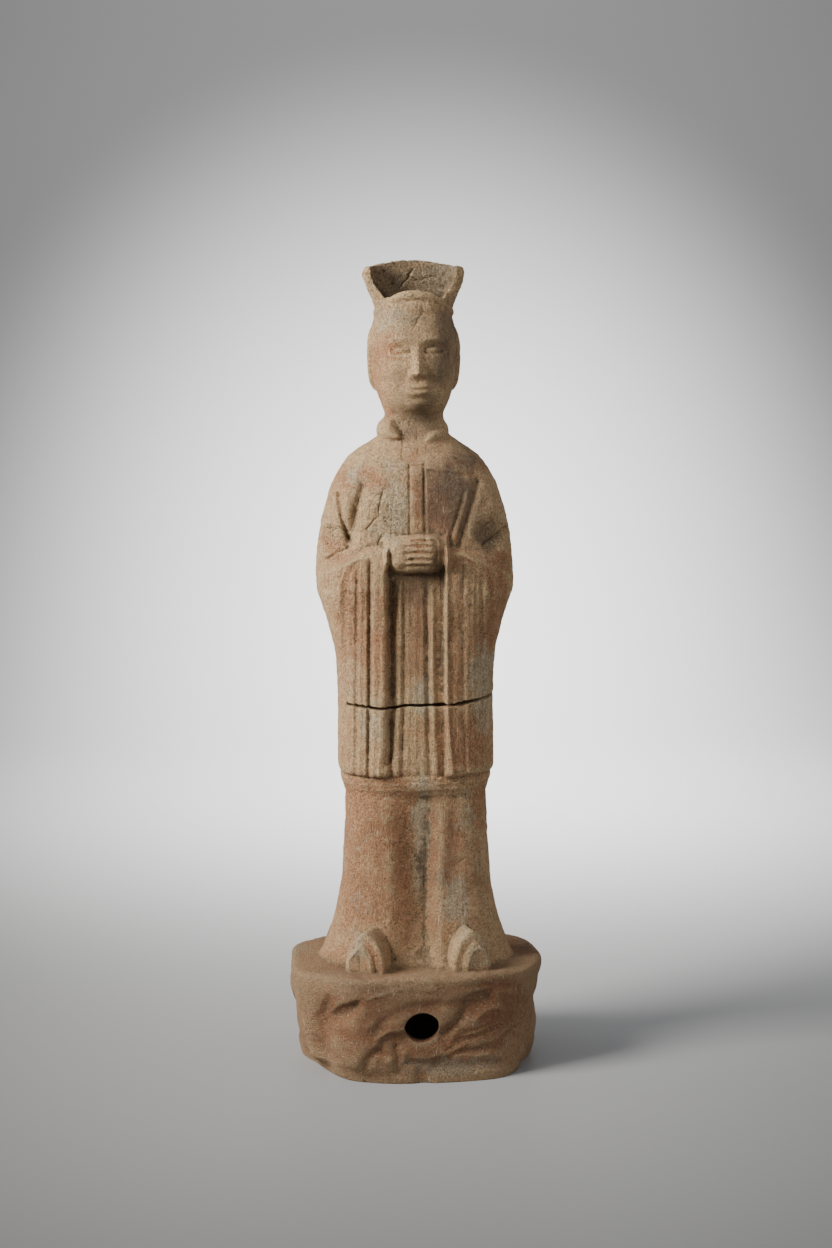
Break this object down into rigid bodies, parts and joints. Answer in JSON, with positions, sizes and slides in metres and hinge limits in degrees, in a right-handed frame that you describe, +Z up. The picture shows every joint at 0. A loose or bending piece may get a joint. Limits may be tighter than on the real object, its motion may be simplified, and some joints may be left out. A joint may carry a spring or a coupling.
{
  "type": "tomb attendant figure",
  "caption": "Standing tomb attendant of fired clay in a long robe, hands clasped at the waist, with a flared open-fronted hat, on a hollow rock base with round kiln vents.",
  "frame": {"origin": "middle of the underside of the rock base, on the surface it stands on", "axes": "+Z up, the figure faces -Y, +X to the figure's left"},
  "size_m": [0.2388, 0.2012, 0.7529],
  "materials": {
    "fired_clay": "unglazed buff-orange earthenware, matt, with worn white slip, soil crust and dark stains"
  },
  "bodies": {
    "root": {"attendant_figure": "fired_clay"}
  },
  "joints": []
}
